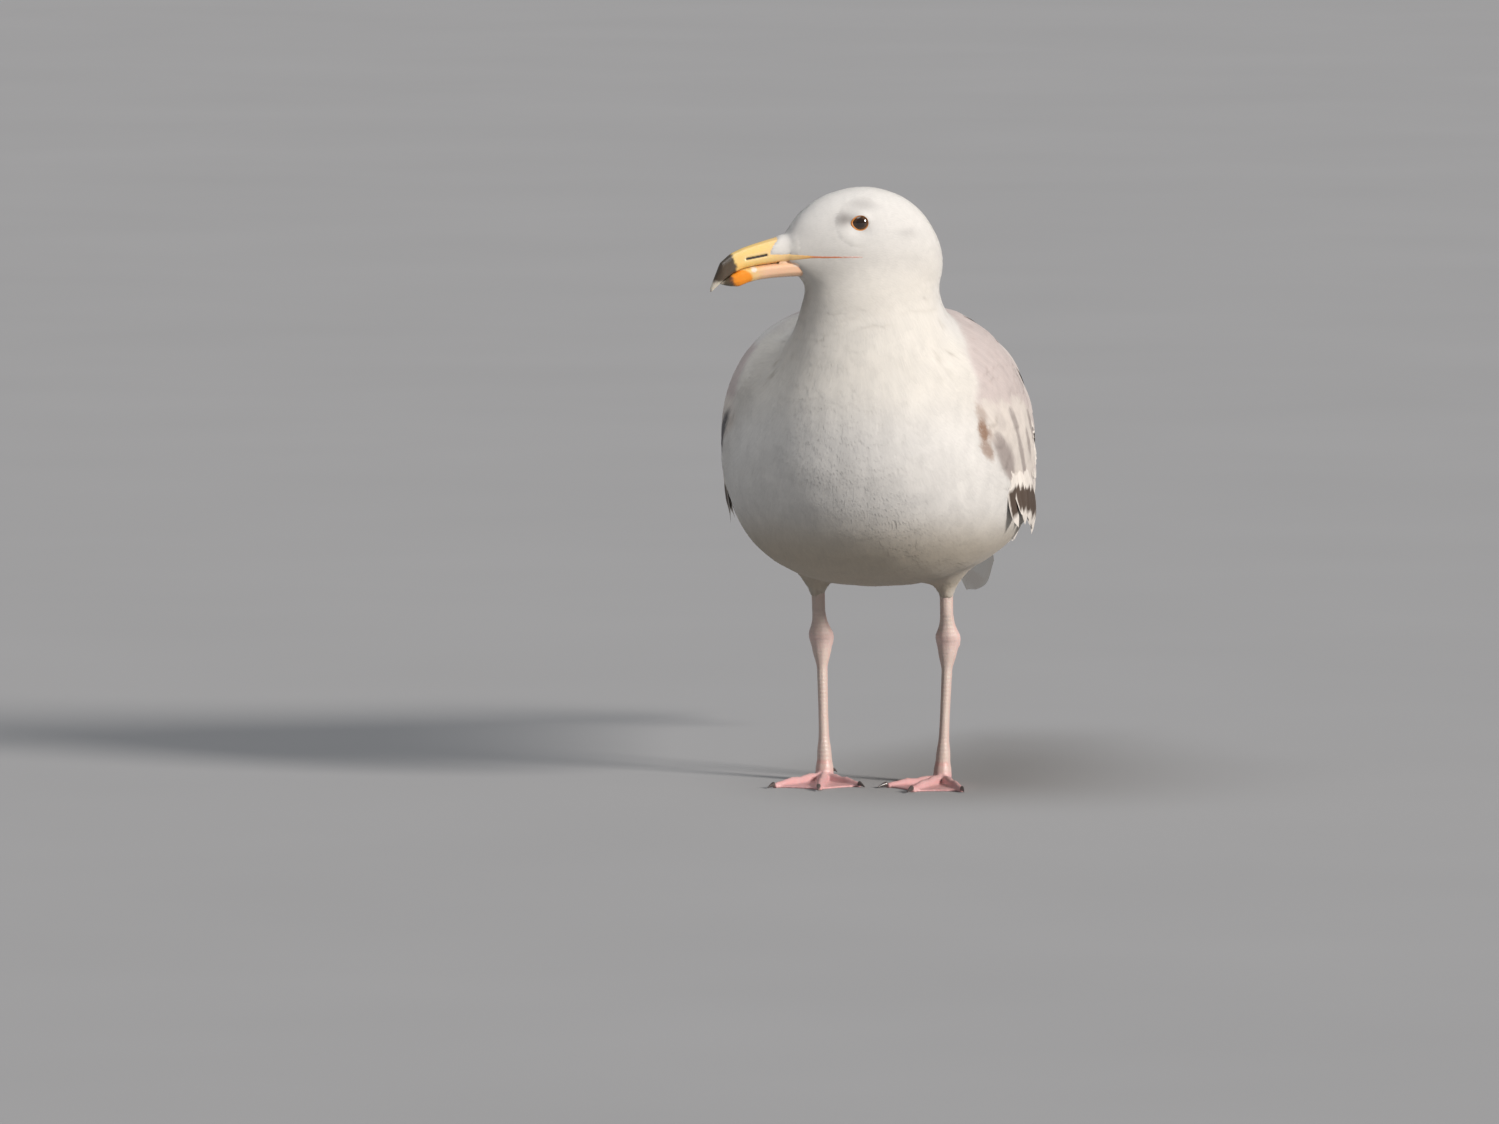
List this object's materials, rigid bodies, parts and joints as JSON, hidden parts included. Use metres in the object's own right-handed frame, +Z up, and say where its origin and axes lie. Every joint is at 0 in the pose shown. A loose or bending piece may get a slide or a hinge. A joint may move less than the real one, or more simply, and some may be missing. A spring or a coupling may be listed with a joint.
{
  "type": "subadult herring gull, standing",
  "caption": "Life-size standing gull with folded wings, white head and breast, grey mottled back, flat webbed feet and its head turned to one side.",
  "frame": {"origin": "on the floor, under the middle of the whole bird's box", "axes": "+Z up, +Y towards the tail, so the breast faces -Y; +X is the bird's left side"},
  "size_m": [0.171, 0.4414, 0.3338],
  "materials": {
    "white_plumage": "soft white feathers, warm at the throat",
    "grey_plumage": "pale grey feathers with paler edges and brown marks",
    "flight_feathers": "dark brown quills with pale tips",
    "bill": "horn, straw yellow with a dark band near the tip",
    "leg_skin": "bare pink skin with scales",
    "claw": "black horn",
    "eye": "wet dark brown"
  },
  "bodies": {
    "root": {"head": "white_plumage", "neck": "white_plumage", "trunk": "white_plumage", "bill_upper": "bill", "bill_lower": "bill", "eye_left": "eye", "eye_right": "eye", "wing_left": "grey_plumage", "wing_right": "grey_plumage", "tertials_left": "grey_plumage", "tertials_right": "grey_plumage", "wingtip_left": "flight_feathers", "wingtip_right": "flight_feathers", "tail": "flight_feathers", "thigh_left": "white_plumage", "thigh_right": "white_plumage", "tibia_left": "leg_skin", "tibia_right": "leg_skin", "tarsus_left": "leg_skin", "tarsus_right": "leg_skin", "foot_left": "leg_skin", "foot_right": "leg_skin", "claw_inner_left": "claw", "claw_inner_right": "claw", "claw_middle_left": "claw", "claw_middle_right": "claw", "claw_outer_left": "claw", "claw_outer_right": "claw", "claw_hind_left": "claw", "claw_hind_right": "claw"}
  },
  "joints": []
}
